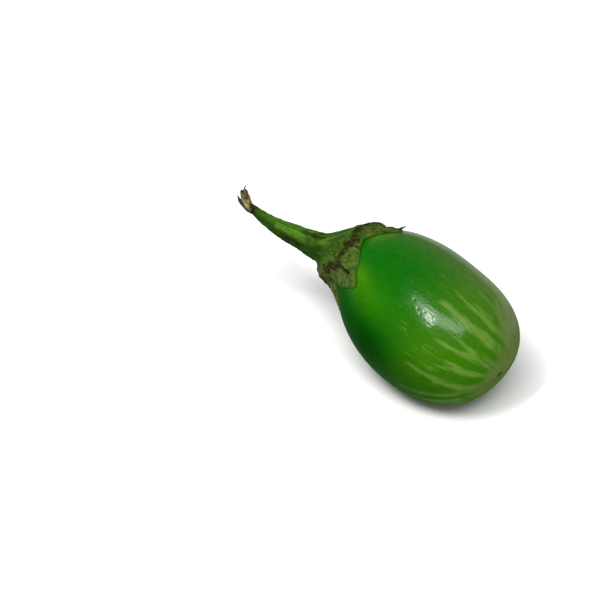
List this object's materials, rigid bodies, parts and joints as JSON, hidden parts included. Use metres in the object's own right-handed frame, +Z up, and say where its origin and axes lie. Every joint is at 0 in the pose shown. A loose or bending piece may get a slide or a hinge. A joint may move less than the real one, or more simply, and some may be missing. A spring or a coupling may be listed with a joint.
{
  "type": "garden egg",
  "caption": "Egg-shaped striped green garden egg lying on its side, with its lobed calyx and curved stem with a dried end; rests on a small flat spot.",
  "frame": {"origin": "middle of the small flat spot that the fruit rests on", "axes": "+X along the length towards the blossom end, +Z up from the surface it lies on, the stem points to -X"},
  "size_m": [0.1148, 0.0496, 0.0504],
  "materials": {
    "green_skin": "smooth glossy skin, deep green at the calyx end with pale streaks that merge towards the blossom end",
    "calyx_and_stem": "matt mottled green with corky brown patches and a dried brown end"
  },
  "bodies": {
    "root": {"fruit": "green_skin", "calyx_and_stem": "calyx_and_stem"}
  },
  "joints": []
}
